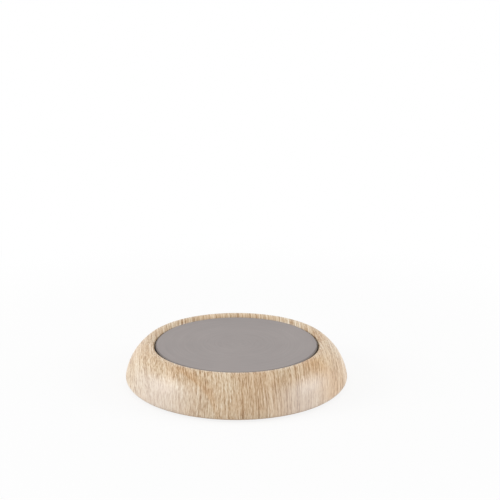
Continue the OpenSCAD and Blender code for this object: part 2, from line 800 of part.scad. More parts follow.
module thermal_fuse() {
    color("whitesmoke") translate([fuse_x, fuse_y, fuse_z]) rotate([90, 0, 0]) {
        cylinder(d = fuse_d, h = fuse_l, center = true);
        cylinder(d = fuse_lead_d, h = fuse_l + 2 * fuse_lead_l, center = true);
    }
}

module fuse_sleeve() {
    color("khaki") translate([fuse_x, fuse_y, fuse_z]) rotate([90, 0, 0]) difference() {
        cylinder(r = sleeve_r, h = fuse_l, center = true);
        cylinder(r = fuse_d / 2 + touch_gap / 2, h = fuse_l + 2 * cut, center = true);
    }
}

// ---- base ----

module base_cover() {
    jack_low_z = bay_z - jack_h / 2;
    stop_top_z = bay_z - cradle_drop;
    cradle_front_y = jack_front_y - cradle_back;
    cup_r = base_head_d / 2 + laid_gap + cup_wall;
    color("darkkhaki") difference() {
        union() {
            translate([0, 0, rim_z]) cylinder(r = cover_r, h = base_t);
            difference() {
                translate([0, 0, rim_z]) cylinder(r = cover_r, h = base_t + rib_h);
                translate([0, 0, rim_z + cut / 2]) cylinder(r = cover_r - rib_t, h = far);
                translate([-bay_w / 2 - bay_round, 0, base_top_z])
                    cube([bay_w + 2 * bay_round, far, far]);
            }
            at_angles(FOOT_ANGLES, foot_r) translate([0, 0, rim_z])
                cylinder(r = cup_r, h = cup_top_z - rim_z);
            // cradle of the power inlet: a saddle, two cheeks and a stop behind it
            box([jack_x - jack_w / 2 - laid_gap - rib_t, jack_back_y - laid_gap - rib_t, rim_z],
                [jack_x + jack_w / 2 + laid_gap + rib_t, cradle_front_y, stop_top_z]);
        }
        box([jack_x - jack_w / 2 - laid_gap, jack_back_y - laid_gap, jack_low_z],
            [jack_x + jack_w / 2 + laid_gap, jack_front_y, far]);
        box([jack_x - jack_w / 2 - laid_gap, jack_back_y + rib_t, base_top_z],
            [jack_x - rib_t, cradle_front_y - rib_t, far]);
        box([jack_x + rib_t, jack_back_y + rib_t, base_top_z],
            [jack_x + jack_w / 2 + laid_gap, cradle_front_y - rib_t, far]);
        at_angles(FOOT_ANGLES, foot_r) {
            translate([0, 0, rim_z - cut])
                cylinder(d = foot_d + 2 * laid_gap, h = cut + foot_recess);
            translate([0, 0, rim_z]) cylinder(d = base_head_d + 2 * laid_gap,
                h = cup_top_z - cup_floor - rim_z);
            translate([0, 0, rim_z]) cylinder(d = base_screw_d + 2 * laid_gap, h = far);
        }
        for (i = [0:vent_count - 1]) rotate([0, 0, (i + 0.5) * 360 / vent_count])
            translate([vent_r, 0, rim_z - cut]) linear_extrude(base_t + 2 * cut)
                rounded_rect(vent_l, vent_w, vent_w / 2 - 0.01);
        translate([0, 0, rim_z - cut]) linear_extrude(cut + label_deep)
            rounded_rect(label_l, label_w, 1);
    }
}

module base_screws() {
    color("lightsteelblue") at_angles(FOOT_ANGLES, foot_r)
        translate([0, 0, cup_top_z - cup_floor])
            screw(base_screw_d, cup_floor + base_screw_l - laid_gap, base_head_d, base_head_h);
}

module foot(angle) {
    color("dimgray") rotate([0, 0, angle]) translate([foot_r, 0, 0]) rotate_extrude() {
        square([foot_d / 2 - foot_edge, foot_t]);
        translate([0, foot_edge]) square([foot_d / 2, foot_t - foot_edge]);
        translate([foot_d / 2 - foot_edge, foot_edge]) circle(foot_edge);
    }
}

module foot_front_right() { foot(FOOT_ANGLES[0]); }
module foot_rear_right() { foot(FOOT_ANGLES[1]); }
module foot_rear_left() { foot(FOOT_ANGLES[2]); }
module foot_front_left() { foot(FOOT_ANGLES[3]); }

// ---- switch ----

module in_switch(turn = 0) {
    translate(switch_at) rotate([0, 0, turn]) children();
}

module switch_housing() {
    barb_z = opening_h / 4;
    color("#202020") in_switch() difference() {
        union() {
            box([-switch_w / 2, switch_back, -switch_h / 2],
                [switch_w / 2, pivot_deep, switch_h / 2]);
            box([-flange_w / 2, pivot_deep, -flange_h / 2],
                [flange_w / 2, pivot_deep + bezel_t, flange_h / 2]);
            // snap barbs that hold the back wall against the flange
            for (side = [0, 1]) mirror([side, 0, 0])
                translate([0, 0, -barb_z]) linear_extrude(2 * barb_z)
                    polygon([[switch_w / 2 - sink, pivot_deep - bay_wall_t - touch_gap],
                        [switch_w / 2 + 2 * laid_gap, pivot_deep - bay_wall_t - touch_gap],
                        [switch_w / 2 - sink, pivot_deep - bay_wall_t - barb_l]]);
        }
        box([-opening_w / 2, switch_back + switch_floor, -opening_h / 2],
            [opening_w / 2, pivot_deep + bezel_t + cut, opening_h / 2]);
        translate([0, 0, -rocker_h / 2 - pin_l - laid_gap / 2])
            cylinder(d = pin_d + 2 * running_gap, h = rocker_h + 2 * pin_l + laid_gap);
        for (x = [0, contact_x])
            box([x - lug_t / 2 - touch_gap, switch_back - cut, -lug_w / 2 - touch_gap],
                [x + lug_t / 2 + touch_gap, switch_back + switch_floor + cut,
                    lug_w / 2 + touch_gap]);
    }
}

module rocker() {
    end_h = rocker_tip + (rocker_tip - rocker_dip) / 4;
    color("#181818") in_switch(-rocker_tilt) difference() {
        union() {
            translate([0, 0, -rocker_h / 2]) linear_extrude(rocker_h) intersection() {
                circle(rocker_r);
                polygon([[-rocker_r, -rocker_skirt], [rocker_r, -rocker_skirt],
                    [rocker_r, end_h], [0, rocker_dip], [-rocker_r, end_h]]);
            }
            translate([0, 0, -rocker_h / 2 - pin_l]) cylinder(d = pin_d, h = rocker_h + 2 * pin_l);
            translate([0, post_low, 0]) rotate([-90, 0, 0])
                cylinder(r = plunger_bore_r + post_wall, h = post_h);
        }
        translate([0, post_low - cut, 0]) rotate([-90, 0, 0])
            cylinder(r = plunger_bore_r, h = bore_top - post_low + cut);
    }
}

module rocker_plunger() {
    tip_y = -plunger_reach + plunger_tip_d / 2;
    color("white") in_switch(-rocker_tilt) {
        translate([0, post_low - sink, 0]) rotate([-90, 0, 0])
            cylinder(d = plunger_d, h = plunger_top - post_low + sink);
        translate([0, tip_y, 0]) rotate([-90, 0, 0])
            cylinder(d = plunger_tip_d, h = plunger_top - tip_y);
        translate([0, tip_y, 0]) sphere(d = plunger_tip_d);
    }
}

module plunger_spring() {
    low = plunger_top + spring_wire_d / 2 + touch_gap / 2;
    high = bore_top - spring_wire_d / 2 - touch_gap / 2;
    step = 30;
    rings = spring_turns * 360 / step;
    path = [for (i = [0:rings]) [spring_d / 2 * cos(i * step), low + (high - low) * i / rings,
        spring_d / 2 * sin(i * step)]];
    color("silver") in_switch(-rocker_tilt) wire(path, spring_wire_d, [1, 0, 0], 1);
}

module contact_lever() {
    color("darkgoldenrod") in_switch() translate([0, -lever_deep, 0]) rotate([0, 0, lever_tilt]) {
        box([-lever_l / 2, lever_rise, -lever_w / 2],
            [lever_l / 2, lever_rise + lever_t, lever_w / 2]);
        translate([contact_x, lever_rise - lever_contact_t, 0]) rotate([-90, 0, 0])
            cylinder(d = contact_d, h = lever_contact_t + lever_t / 2);
    }
}

module switch_lug(x, y_high) {
    box([x - lug_t / 2, lug_end, -lug_w / 2], [x + lug_t / 2, y_high, lug_w / 2]);
}

module switch_terminal_common() {
    color("goldenrod") in_switch() {
        switch_lug(0, -lever_deep);
        translate([0, -lever_deep, -lug_w / 2]) cylinder(d = lug_t, h = lug_w);
    }
}

module switch_terminal_load() {
    color("goldenrod") in_switch() {
        switch_lug(contact_x, fixed_contact_y - load_pad_t / 2);
        box([contact_x - load_pad_l / 2, fixed_contact_y - load_pad_t, -lug_w / 2],
            [contact_x + load_pad_l / 2, fixed_contact_y, lug_w / 2]);
    }
}

// ---- power inlet ----

module inlet_housing() {
    slot_w = spring_contact_w + 2 * touch_gap;
    slot_x = spring_contact_x + spring_contact_t + touch_gap;
    color("#242424") difference() {
        union() {
            box([jack_x - jack_w / 2, jack_back_y, bay_z - jack_h / 2],
                [jack_x + jack_w / 2, jack_front_y, bay_z + jack_h / 2]);
            translate([jack_x, jack_front_y, bay_z]) rotate([-90, 0, 0])
                cylinder(d = collar_d, h = collar_face_y - jack_front_y);
        }
        translate([jack_x, collar_face_y + cut, bay_z]) rotate([90, 0, 0])
            cylinder(d = plug_hole_d, h = plug_hole_deep + cut);
        translate([jack_x, collar_face_y, bay_z]) rotate([90, 0, 0])
            cylinder(d = centre_pin_d + 2 * running_gap, h = far);
        box([jack_x, jack_back_y - cut, bay_z - slot_w / 2],
            [slot_x, jack_front_y - contact_back, bay_z + slot_w / 2]);
    }
}

module inlet_centre_pin() {
    ball_y = collar_face_y - centre_pin_in - centre_pin_d / 2;
    color("silver") {
        translate([jack_x, ball_y, bay_z]) {
            sphere(d = centre_pin_d);
            rotate([90, 0, 0]) cylinder(d = centre_pin_d, h = ball_y - jack_back_y + lug_l / 2);
        }
        box([jack_x - lug_t / 2, jack_lug_y, bay_z - pin_lug_w / 2],
            [jack_x + lug_t / 2, jack_back_y - laid_gap, bay_z + pin_lug_w / 2]);
    }
}

module inlet_spring_contact() {
    color("goldenrod")
        box([spring_contact_x - contact_press, jack_lug_y, bay_z - spring_contact_w / 2],
            [spring_contact_x + spring_contact_t, jack_front_y - contact_back - laid_gap,
                bay_z + spring_contact_w / 2]);
}

// ---- wires ----

// Round routes, chosen by hand, from lug to lug
inlet_pin_end = [jack_x, jack_lug_y - touch_gap, bay_z];
inlet_spring_end = [spring_contact_x + contact_press, jack_lug_y - touch_gap, bay_z];
load_end = [contact_x - switch_x, bay_y - pivot_deep + lug_end - touch_gap, bay_z];
common_end = [-switch_x, bay_y - pivot_deep + lug_end - touch_gap, bay_z];
fixed_lug_end = [fixed_strip_x, lug_end_y + touch_gap, fixed_strip_z + strip_t / 2];
blade_lug_end = [blade_strip_x, lug_end_y + touch_gap, blade_z - touch_gap - strip_t / 2];
fuse_rear_end = [fuse_x, fuse_y + fuse_l / 2 + fuse_lead_l + touch_gap, fuse_z];
fuse_front_end = [fuse_x, fuse_y - fuse_l / 2 - fuse_lead_l - touch_gap, fuse_z];
lead_route = [fuse_front_end, fuse_front_end - [0, 2.6, 0], fuse_front_end + [1.2, -8.9, 0],
    tab_face(TABS[0], 2.4), tab_face(TABS[0], touch_gap)];

module wire_inlet_to_switch() {
    color("red") wire([load_end, load_end - [0, 2.4, 0], load_end + [1.6, -6.6, -0.7],
        load_end + [6.2, -11, -1.3], inlet_pin_end - [1.9, 7, 1.1], inlet_pin_end - [0, 3, 0],
        inlet_pin_end], wire_d);
}

module wire_switch_to_thermostat() {
    a = common_end + [0, -3, 0.1];
    b = fixed_lug_end + [0, 2.6, -0.3];
    color("red") wire([common_end, a, a + 0.4 * (b - a) - [0.1, 0, 0.5],
        a + 0.8 * (b - a) - [0.4, 0, 0.5], b, fixed_lug_end], wire_d);
}

module wire_thermostat_to_fuse() {
    low_z = clamp_low_z - 2.2;
    color("red") wire([blade_lug_end, blade_lug_end + [0, 2.4, -0.4],
        [thermostat_x + 2.8, drop_y + 0.6, low_z + 0.8], [thermostat_x + 7.6, drop_y + 4, low_z],
        [fuse_x - 5, drop_y + 3.4, low_z], [fuse_x - 1, drop_y, low_z + 0.8],
        [fuse_x, drop_y - 3.4, low_z + 2.4], fuse_rear_end + [0, 2.4, 0], fuse_rear_end], wire_d);
}

module wire_fuse_to_heater() {
    color("red") wire(lead_route, wire_d);
}

module wire_heater_to_inlet() {
    color("black") wire([tab_face(TABS[1], touch_gap), tab_face(TABS[1], 2.4),
        inner_tab_wire + [0.9, 7.9, -1.8], inner_tab_wire + [1.5, 14.5, -5.4],
        inlet_spring_end - [6.6, 14.6, 2.7], inlet_spring_end - [2.6, 8.2, 2.9],
        inlet_spring_end + [0.4, -4.6, -1.2], inlet_spring_end - [0, 2, 0],
        inlet_spring_end], wire_d);
}

ring_shell();
heating_plate();
plate_seal();
heater_film();
heater_track();
insulation_pad();
clamp_plate();
clamp_screws();
thermostat_case();
thermostat_plug();
thermostat_fixed_contact();
thermostat_blade_terminal();
bimetal_blade();
thermostat_clip();
clip_screws();
thermal_fuse();
fuse_sleeve();
base_cover();
base_screws();
foot_front_right();
foot_rear_right();
foot_rear_left();
foot_front_left();
switch_housing();
rocker();
rocker_plunger();
plunger_spring();
contact_lever();
switch_terminal_common();
switch_terminal_load();
inlet_housing();
inlet_centre_pin();
inlet_spring_contact();
wire_inlet_to_switch();
wire_switch_to_thermostat();
wire_thermostat_to_fuse();
wire_fuse_to_heater();
wire_heater_to_inlet();
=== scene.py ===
import json
import math

import bmesh
import bpy
import numpy as np
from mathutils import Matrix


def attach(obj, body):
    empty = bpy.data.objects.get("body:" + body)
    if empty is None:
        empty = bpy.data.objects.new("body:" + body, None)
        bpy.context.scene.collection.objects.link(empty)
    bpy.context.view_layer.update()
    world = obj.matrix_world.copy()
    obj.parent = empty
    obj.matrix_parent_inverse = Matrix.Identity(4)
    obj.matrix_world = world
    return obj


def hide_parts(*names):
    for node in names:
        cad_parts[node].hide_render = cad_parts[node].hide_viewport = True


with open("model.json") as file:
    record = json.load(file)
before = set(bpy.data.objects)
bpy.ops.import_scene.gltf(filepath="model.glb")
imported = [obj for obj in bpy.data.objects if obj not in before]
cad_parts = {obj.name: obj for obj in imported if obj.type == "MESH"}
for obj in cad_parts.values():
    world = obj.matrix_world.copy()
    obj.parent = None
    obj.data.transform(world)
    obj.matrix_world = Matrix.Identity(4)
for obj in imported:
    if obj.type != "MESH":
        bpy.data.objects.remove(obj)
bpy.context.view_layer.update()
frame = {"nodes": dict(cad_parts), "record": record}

# ---- camera ----
# Seen from just in front and a little above, as someone sitting at the desk sees the warmer.
# The lens is long, so the round ring shows little perspective.

sensor_mm, lens_mm, sideways_shift = 36, 80.55, 0.0270
# Metres in front of the warmer's middle and above the table
eye_back, eye_height, look_down_deg = 0.4762, 0.1887, 15.08

scene = bpy.context.scene
camera_data = bpy.data.cameras.new("desk_camera")
camera_data.sensor_width, camera_data.lens = sensor_mm, lens_mm
camera_data.shift_x = sideways_shift
camera = bpy.data.objects.new("desk_camera", camera_data)
camera.location = (0, -eye_back, eye_height)
camera.rotation_euler = (math.radians(90 - look_down_deg), 0, 0)
scene.collection.objects.link(camera)
scene.camera = camera
scene.view_settings.view_transform = "Standard"


# ---- table and light ----
# A wide white sheet that the warmer stands on, and white all round it. Two broad soft lamps
# stand to the left and right of the warmer, a little in front.


class Value:
    """A number that a material's node gives. Arithmetic on it adds Math nodes."""

    def __init__(self, finish, socket):
        self.finish, self.socket = finish, socket

    def __add__(self, other):
        return self.finish.math("ADD", self, other)

    def __sub__(self, other):
        return self.finish.math("SUBTRACT", self, other)

    def __rsub__(self, other):
        return self.finish.math("SUBTRACT", other, self)

    def __mul__(self, other):
        return self.finish.math("MULTIPLY", self, other)

    def __truediv__(self, other):
        return self.finish.math("DIVIDE", self, other)

    def __rtruediv__(self, other):
        return self.finish.math("DIVIDE", other, self)

    def __pow__(self, power):
        return self.finish.math("POWER", self, power)

    __radd__ = __add__
    __rmul__ = __mul__

    def larger(self, other):
        """The larger of two numbers."""
        return self.finish.math("MAXIMUM", self, other)

    def part(self):
        """What is over a whole number."""
        return self.finish.math("FRACT", self)

    def bell(self):
        """1 at zero, and less on both sides: e to the power of minus half the square."""
        return self.finish.math("EXPONENT", -0.5 * (self * self))

    def rises(self, low, high):
        """0 below low, 1 above high, and a soft S between them."""
        return self.finish.node("ShaderNodeMapRange", {"interpolation_type": "SMOOTHSTEP"},
                                {"Value": self, "From Min": low, "From Max": high})


class Finish:
    """The nodes of one material, or of the room round the warmer."""

    def __init__(self, owner):
        owner.use_nodes = True
        self.owner, self.tree = owner, owner.node_tree
        self.tree.nodes.clear()

    def node(self, kind, settings=None, sockets=None, output=0):
        """Adds a node: its settings or ramp stops first, then its sockets' values or links.
        Gives one of its outputs, by number or name."""
        made = self.tree.nodes.new(kind)
        for name, value in (settings or {}).items():
            if name == "stops":
                while len(made.color_ramp.elements) < len(value):
                    made.color_ramp.elements.new(0.5)
                for stop, (place, colour) in zip(made.color_ramp.elements, value):
                    stop.position, stop.color = place, (*colour, 1)
            else:
                setattr(made, name, value)
        for name, value in (sockets or {}).items():
            if isinstance(value, Value):
                self.tree.links.new(value.socket, made.inputs[name])
            else:
                made.inputs[name].default_value = value
        return Value(self, made.outputs[output]) if made.outputs else None

    def math(self, operation, *values):
        """Math node on numbers or on what other nodes give."""
        return self.node("ShaderNodeMath", {"operation": operation}, dict(enumerate(values)))

    def place(self):
        """x, y and z of the point in millimetres."""
        at = self.node("ShaderNodeTexCoord", output="Object")
        mm = self.node("ShaderNodeVectorMath", {"operation": "SCALE"}, {0: at, "Scale": 1000.0})
        return [self.node("ShaderNodeSeparateXYZ", {}, {0: mm}, axis) for axis in range(3)]

    def noise(self, x, y, z, detail=2.0, roughness=0.5):
        """Soft noise, 0 to 1, at a point given by three numbers. Its waves are about 1 long."""
        at = self.node("ShaderNodeCombineXYZ", {}, {0: x, 1: y, 2: z})
        return self.node("ShaderNodeTexNoise", {}, {"Vector": at, "Scale": 1.0, "Detail": detail,
                                                    "Roughness": roughness})

    def blend(self, amount, low, high, kind="MIX"):
        """Colour between low and high. With MULTIPLY, high tints low instead."""
        colours = {socket: colour if isinstance(colour, Value) else (*colour, 1)
                   for socket, colour in ((6, low), (7, high))}
        return self.node("ShaderNodeMix", {"data_type": "RGBA", "blend_type": kind},
                         {0: amount, **colours}, 2)

    def bumps(self, height, depth_mm, strength):
        """Surface direction disturbed by a height of 0 to 1 that is depth_mm deep."""
        return self.node("ShaderNodeBump", {}, {"Height": height, "Distance": depth_mm / 1000,
                                                "Strength": strength})

    def surface(self, **sockets):
        """Closes the material with its shader, and returns it."""
        named = {name.replace("_", " "): (*value, 1) if isinstance(value, tuple) else value
                 for name, value in sockets.items()}
        shader = self.node("ShaderNodeBsdfPrincipled", {}, named)
        self.node("ShaderNodeOutputMaterial", {}, {"Surface": shader})
        return self.owner


def new_piece(name, points, faces):
    """Mesh object at the origin from an array of points in metres and one of face corners."""
    mesh = bpy.data.meshes.new(name)
    mesh.from_pydata(points.tolist(), [], faces.tolist())
    mesh.update()
    piece = bpy.data.objects.new(name, mesh)
    scene.collection.objects.link(piece)
    return piece


def seen_directly(finish):
    """1 where the camera, a mirror or clear plastic looks straight at the surface."""
    camera_ray, mirror_ray, clear_ray = [
        finish.node("ShaderNodeLightPath", output=f"Is {kind} Ray")
        for kind in ("Camera", "Glossy", "Transmission")]
    return camera_ray.larger(mirror_ray).larger(clear_ray)


# Near the warmer the sheet is partly plain white paint, which keeps the shadow. Further off it
# turns into the even white of the room.
near_mm, far_mm, near_glow = 70.0, 260.0, 0.84
table_white = Finish(bpy.data.materials.new("table_white"))
table_x, table_y, _ = table_white.place()
far_off = (table_x * table_x + table_y * table_y).rises(near_mm ** 2, far_mm ** 2)
glow_share = (near_glow + (1 - near_glow) * far_off) * seen_directly(table_white)
paint = table_white.node("ShaderNodeBsdfDiffuse", {}, {"Color": (0.9, 0.9, 0.9, 1)})
glow = table_white.node("ShaderNodeEmission", {}, {"Strength": 1.0})
both = table_white.node("ShaderNodeMixShader", {}, {0: glow_share, 1: paint, 2: glow})
table_white.node("ShaderNodeOutputMaterial", {}, {"Surface": both})

# It lies a fiftieth of a millimetre below the feet, so that the two don't share one plane
table_half, table_below = 6.0, 0.00002
table_corners = np.array([(-1, -1, 0), (1, -1, 0), (1, 1, 0), (-1, 1, 0)])
table = new_piece("table_sheet", table_corners * table_half - (0, 0, table_below),
                  np.array([[0, 1, 2, 3]]))
table.data.materials.append(table_white.owner)

room_level = 0.68
room = Finish(bpy.data.worlds.new("white_room"))
scene.world = room.owner
white_air = room.node("ShaderNodeBackground", {}, {
    "Color": (1, 1, 1, 1), "Strength": room_level + (1 - room_level) * seen_directly(room)})
room.node("ShaderNodeOutputWorld", {}, {"Surface": white_air})


def softbox(name, spot, width, height, power):
    """Square-edged area lamp at spot that faces the middle of the warmer."""
    data = bpy.data.lights.new(name, "AREA")
    data.shape, data.size, data.size_y, data.energy = "RECTANGLE", width, height, power
    lamp = bpy.data.objects.new(name, data)
    lamp.location = spot
    warmer_middle = (0, 0, 0.01)
    x, y, z = np.subtract(spot, warmer_middle)
    lamp.rotation_euler = (math.atan2(math.hypot(x, y), z), 0, math.atan2(y, x) + math.pi / 2)
    scene.collection.objects.link(lamp)


softbox("lamp_left", spot=(-0.82, -0.12, 0.43), width=0.46, height=0.42, power=3.4)
softbox("lamp_right", spot=(0.82, -0.06, 0.41), width=0.42, height=0.38, power=2.6)


# ---- ring shell ----
# One hollow moulding, a low dome round the plate's opening, of a heat-proof plastic. A printed
# film of pale beech is moulded onto it, with the grain running from front to back, under a
# semi-matte lacquer.

# Millimetres: how far out the flat crest ends and how high it is, then the middle and the radius
# of the arc that is the dome's profile
crest_r, crest_z = 40.0, 17.9
dome_centre_r, dome_centre_z, dome_r = 27.33, -0.77, 23.0


def srgb(red, green, blue):
    """Linear colour of a screen colour given as 0 to 255."""
    parts = [c / 255 for c in (red, green, blue)]
    return tuple(c / 12.92 if c <= 0.04045 else ((c + 0.055) / 1.055) ** 2.4 for c in parts)


wood = Finish(bpy.data.materials.new("beech_film"))
wood_x, wood_y, wood_z = wood.place()

# The film is flat over the crest and is drawn down over the dome. So a point of it lies as far
# from the middle as the crest does, and then as far again as it is from the crest. Sideways it
# is drawn only a little. The grain lies turned a few degrees from straight to the back.
sideways_draw = 0.15
grain_turn = math.radians(6)
from_axis = (wood_x * wood_x + wood_y * wood_y) ** 0.5
outward = (from_axis - crest_r).larger(0.0)
down = crest_z - wood_z
drawn = 1 + ((outward * outward + down * down) ** 0.5 - outward) / from_axis
film_x = ((math.cos(grain_turn) * wood_x + math.sin(grain_turn) * wood_y)
          * (1 - sideways_draw + sideways_draw * drawn))
film_y = (math.cos(grain_turn) * wood_y - math.sin(grain_turn) * wood_x) * drawn

# Slow bends of the grain, and a knot's shadow at the front left that the lines swing round.
# Each line of the grain runs where the number `line` stays the same.
bend = wood.noise(film_x * 0.045, film_y * 0.03, 3.1, detail=1.0)
swing = ((film_x + 22.0) / 7.0).bell() * ((film_y + 58.0) / 9.0).bell()
bend_mm, swing_mm = 2.6, 2.0
line = film_x + bend_mm * bend + swing_mm * swing


def streaks(across, along, layer, detail=2.0, roughness=0.5):
    """Noise with so many waves in a millimetre across the grain and along it. Another layer
    gives another pattern."""
    return wood.noise(line * across, film_y * along, layer, detail, roughness)


# Growth lines darken slowly and end sharply. Over them lie long fibres, short dark pores and
# pale flecks, all of them longer along the grain than across it.
lines_in_mm, uneven = 0.38, 2.4
band = streaks(0.11, 0.008, layer=7.7)
spacing = streaks(0.22, 0.012, layer=4.4, detail=1.0)
late_wood = (line * lines_in_mm + uneven * spacing).part() ** 2.5
clear_lines = streaks(0.07, 0.02, layer=6.1, detail=1.0).rises(0.36, 0.6)
long_line = streaks(2.7, 0.024, layer=1.4, roughness=0.8)
fibre = streaks(2.6, 0.13, layer=5.2, roughness=0.8)
stroke = streaks(3.2, 0.52, layer=9.3, roughness=0.6)
pore = streaks(3.3, 0.5, layer=2.6, detail=1.0, roughness=0.4).rises(0.58, 0.68)
fleck = streaks(3.1, 0.5, layer=8.6, detail=1.0, roughness=0.4).rises(0.58, 0.68)

# Each of them makes the tone, 0 to 1, darker or paler by its weight. Towards the front left the
# long lines give way to short strokes.
short_grained = (4.0 - film_x).rises(0.0, 18.0) * (5.0 - film_y).rises(0.0, 25.0)
tone = (0.57
        + 0.3 * (band - 0.5)
        - 0.19 * late_wood * (0.25 + 0.75 * clear_lines)
        + (1.9 - 0.9 * short_grained) * (long_line - 0.5)
        + 1.2 * (fibre - 0.5)
        + (0.7 + 0.8 * short_grained) * (stroke - 0.5)
        - 0.2 * pore
        + 0.18 * fleck)
beech_tones = [(0.0, srgb(146, 110, 74)), (0.28, srgb(184, 153, 117)), (0.5, srgb(212, 189, 158)),
               (0.72, srgb(227, 208, 180)), (1.0, srgb(242, 230, 210))]
wood_colour = wood.node("ShaderNodeValToRGB", {"stops": beech_tones}, {0: tone})
blush = wood.noise(wood_x * 0.06, wood_y * 0.06, wood_z * 0.06).rises(0.35, 0.65)
wood_colour = wood.blend(0.3 * blush, wood_colour, srgb(240, 208, 176), "MULTIPLY")

# Warmer, darker patch that reaches the opening at the front right: partly the wood's own heartwood
# tone, partly painted shade
heartwood_and_shade = ((wood_x - 34.0) / 7.0).bell() * ((wood_y + 24.0) / 5.0).bell()
wood_colour = wood.blend(0.6 * heartwood_and_shade, wood_colour, srgb(240, 214, 176), "MULTIPLY")

# A warmer, darker band crosses the front left slantwise, between two limits in x and only in
# front: partly a growth line of the wood, partly painted shade. past_line is how far in from its
# sharp outer side a point lies. The inner side fades over line_mm.
line_mm = 4.0
past_line = 0.68 * wood_x + 0.733 * wood_y + 42.0
growth_line_and_shade = (past_line.rises(-0.4, 0.4) * (line_mm - past_line).rises(0.0, line_mm)
               * (wood_x + 29.0).rises(0.0, 8.0) * (-5.0 - wood_x).rises(0.0, 6.0)
               * (-20.0 - wood_y).rises(0.0, 8.0))
wood_colour = wood.blend(0.5 * growth_line_and_shade, wood_colour, srgb(238, 214, 180), "MULTIPLY")

# Painted highlight: a paler, greyer sheen low on the front, to the left and to the right, where
# broad highlights reach down the dome
painted_sheen = ((((wood_x + 34.0) / 11.0).bell() + ((wood_x - 29.0) / 8.0).bell())
           * (15.5 - wood_z).rises(0.0, 6.0) * (-8.0 - wood_y).rises(0.0, 18.0))
wood_colour = wood.blend(0.46 * painted_sheen, wood_colour, srgb(228, 218, 212))

# The film is turned in a little way at the bay's edge. Deeper under the dome, up to
# plain_up_to_z, the moulding is plain.
plain_up_to_z = 13.6
in_r, in_z = from_axis - dome_centre_r, wood_z - dome_centre_z
under_dome = dome_r - (in_r * in_r + in_z * in_z) ** 0.5
bare = under_dome.rises(0.5, 0.8) * (plain_up_to_z - wood_z).rises(0.0, 0.2)
mould_grain = wood.noise(wood_x * 3.2, wood_y * 3.2, wood_z * 3.2, detail=3.0, roughness=0.6)
bare_colour = wood.blend(mould_grain.rises(0.3, 0.7), srgb(184, 153, 121), srgb(196, 166, 134))
wood_colour = wood.blend(bare, wood_colour, bare_colour)
film_height = 0.6 * long_line + 0.4 * fibre - 0.4 * pore
ring_height = film_height * (1 - bare) + 0.6 * mould_grain * bare
ring_finish = wood.surface(
    Base_Color=wood_colour, Roughness=0.48 + 0.10 * stroke, Specular_IOR_Level=0.15,
    Coat_Weight=0.6, Coat_Roughness=0.3,
    Normal=wood.bumps(ring_height, depth_mm=0.04, strength=0.5))

nodes = frame["nodes"]
body_of = {node: body for body, held in frame["record"]["behaviour"]["bodies"].items()
           for node in held}


def merged_copy(node):
    """bmesh of a CAD node whose loose triangles are joined where their corners lie within two
    thousandths of a millimetre."""
    loose = bmesh.new()
    loose.from_mesh(nodes[node].data)
    bmesh.ops.remove_doubles(loose, verts=loose.verts, dist=2e-6)
    return loose


def smooth_shaded(mesh, sharp_deg):
    """Lets light run smoothly over a mesh, apart from edges that turn more than sharp_deg."""
    mesh.polygons.foreach_set("use_smooth", [True] * len(mesh.polygons))
    mesh.set_sharp_from_angle(angle=math.radians(sharp_deg))


def stands_for(node, piece_mesh, finish, sharp_deg):
    """Turns a bmesh into a piece that takes a CAD node's place, body and material slot."""
    mesh = bpy.data.meshes.new(node + "_dressed")
    piece_mesh.to_mesh(mesh)
    piece_mesh.free()
    smooth_shaded(mesh, sharp_deg)
    piece = bpy.data.objects.new(node + "_dressed", mesh)
    scene.collection.objects.link(piece)
    mesh.materials.append(finish)
    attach(piece, body_of[node])
    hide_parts(node)
    return piece


def keep_result(piece):
    """Gives a piece the mesh that its modifiers make, and drops them and the mesh before."""
    before = piece.data
    piece.data = bpy.data.meshes.new_from_object(
        piece.evaluated_get(bpy.context.evaluated_depsgraph_get()))
    piece.modifiers.clear()
    bpy.data.meshes.remove(before)


def dome_y(x, z):
    """How far back the dome reaches: the circle of its profile, turned round the axis."""
    reach = dome_centre_r + np.sqrt(dome_r ** 2 - (z - dome_centre_z) ** 2)
    return np.sqrt(reach ** 2 - x ** 2)


def rounded_loop(width, height, corner, arc_steps, run_steps):
    """Points and outward directions along a rounded rectangle: a quarter circle at each corner,
    and between them straight runs cut into equal steps."""
    quarter = np.linspace(0, math.pi / 2, arc_steps)
    points, ways = [], []
    for k, sides in enumerate([(1, 1), (-1, 1), (-1, -1), (1, -1)]):
        turn = quarter + k * math.pi / 2
        way = np.stack([np.cos(turn), np.sin(turn)], 1)
        middle = np.multiply(sides, (width / 2 - corner, height / 2 - corner))
        points.append(middle + corner * way)
        ways.append(way)
    for k in range(4):
        start, stop = points[k][-1], points[(k + 1) % 4][0]
        part = np.linspace(0, 1, run_steps[k % 2] + 1)[1:-1, None]
        points[k] = np.concatenate([points[k], start + part * (stop - start)])
        ways[k] = np.concatenate([ways[k], np.repeat(ways[k][-1:], len(part), 0)])
    return np.concatenate(points), np.concatenate(ways)


# The bay's edge is broken by a small round. The tool that cuts it is a band along the edge: in
# each cross-section a curve bends from the bay's wall to the dome, and two straight sides close
# it outside the material. The curve is a parabola from (-lip_start, edge_y - lip_round) to
# (lip_round, far_y + lip_start), and at both ends it points at the edge itself.
bay_w, bay_h, bay_corner, bay_z = 30.0, 8.6, 2.5, 8.3
lip_round, lip_start, lip_clear, lip_steps = 0.5, 0.02, 0.4, 11
loop, way = rounded_loop(bay_w, bay_h, bay_corner, arc_steps=13, run_steps=(28, 6))
loop_x, loop_z = loop[:, :1], loop[:, 1:] + bay_z
way_x, way_z = way[:, :1], way[:, 1:]
edge_y = dome_y(loop_x, loop_z)
far_y = dome_y(loop_x + lip_round * way_x, loop_z + lip_round * way_z)
bow = np.linspace(0, 1, lip_steps)[None, :]
out_mm = -lip_start * (1 - bow) ** 2 + lip_round * bow ** 2
back_mm = ((edge_y - lip_round) * (1 - bow) ** 2 + 2 * edge_y * bow * (1 - bow)
           + (far_y + lip_start) * bow ** 2)
